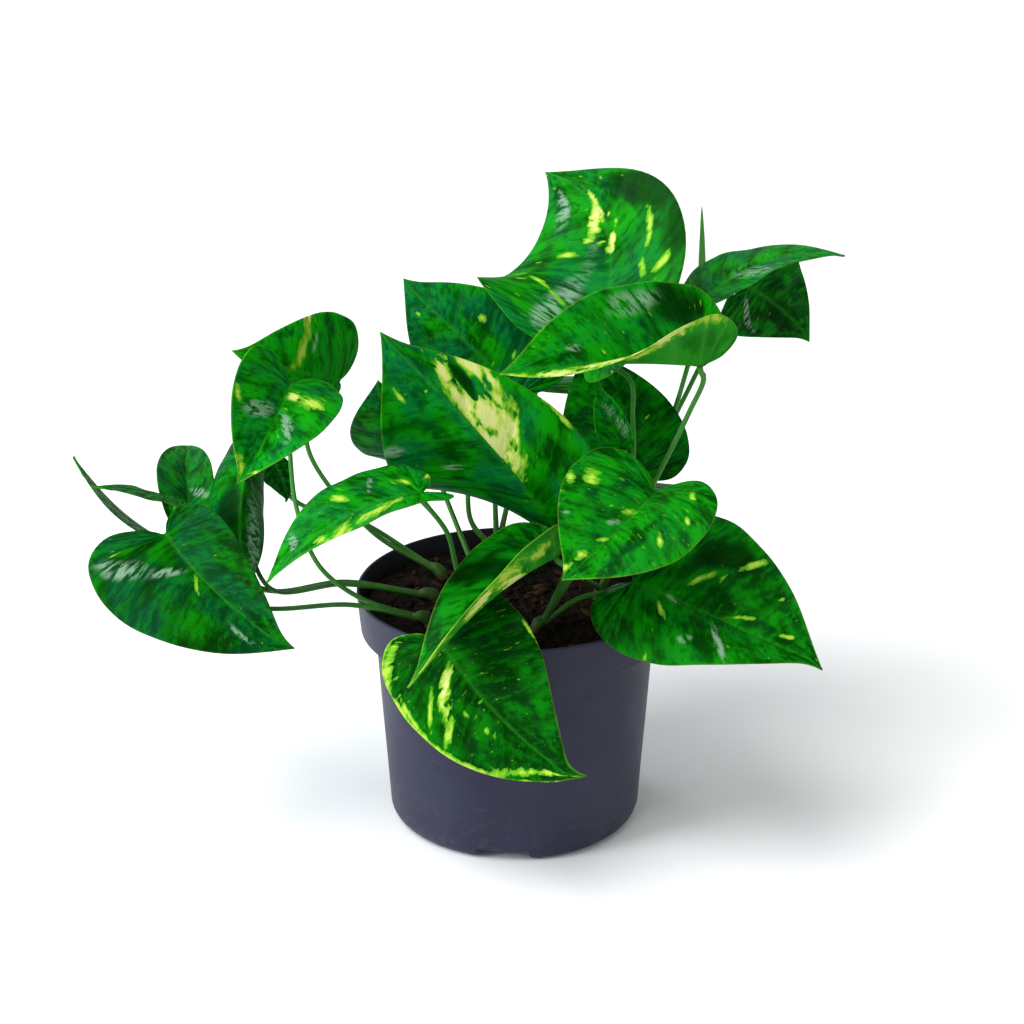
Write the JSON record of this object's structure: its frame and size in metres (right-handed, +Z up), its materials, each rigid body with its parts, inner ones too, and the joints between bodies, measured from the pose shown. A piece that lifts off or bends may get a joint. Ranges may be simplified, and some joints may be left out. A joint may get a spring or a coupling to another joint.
{
  "type": "potted plant",
  "caption": "Trailing pothos plant with heart-shaped variegated leaves on arching stalks, growing in a round tapered plastic nursery pot filled with soil.",
  "frame": {"origin": "on the pot's axis, in the plane of the face the pot stands on", "axes": "+Z up along the pot's axis; -Y towards the front of the plant, the side the picture shows; +X to the right seen from the front"},
  "size_m": [0.2914, 0.2052, 0.2354],
  "materials": {
    "pot_plastic": "satin moulded plastic, dark blue-grey",
    "potting_soil": "rough, damp dark brown potting soil",
    "stalk": "smooth, light green plant stem",
    "leaf": "glossy green leaf with cream-yellow variegation"
  },
  "bodies": {
    "root": {"pot": "pot_plastic", "soil": "potting_soil", "stem_left_front": "stalk", "stem_left": "stalk", "stem_left_back": "stalk", "stem_back": "stalk", "stem_middle": "stalk", "stem_right_back": "stalk", "stem_right": "stalk", "stem_front": "stalk", "stem_right_front": "stalk", "leaf_top": "leaf", "leaf_folded": "leaf", "leaf_cream_patch": "leaf", "leaf_upper_left": "leaf", "leaf_behind_patch": "leaf", "leaf_inner_right": "leaf", "leaf_left_high": "leaf", "leaf_left_middle": "leaf", "leaf_left_hanging": "leaf", "leaf_left_shaded": "leaf", "leaf_left_small": "leaf", "leaf_left_narrow": "leaf", "leaf_left_edge": "leaf", "leaf_far_left": "leaf", "leaf_arched": "leaf", "leaf_front": "leaf", "leaf_front_narrow": "leaf", "leaf_spotted": "leaf", "leaf_young": "leaf", "leaf_right": "leaf", "leaf_right_high": "leaf", "leaf_right_shaded": "leaf", "leaf_back_left": "leaf", "leaf_back_middle": "leaf", "leaf_back_right": "leaf"}
  },
  "joints": []
}
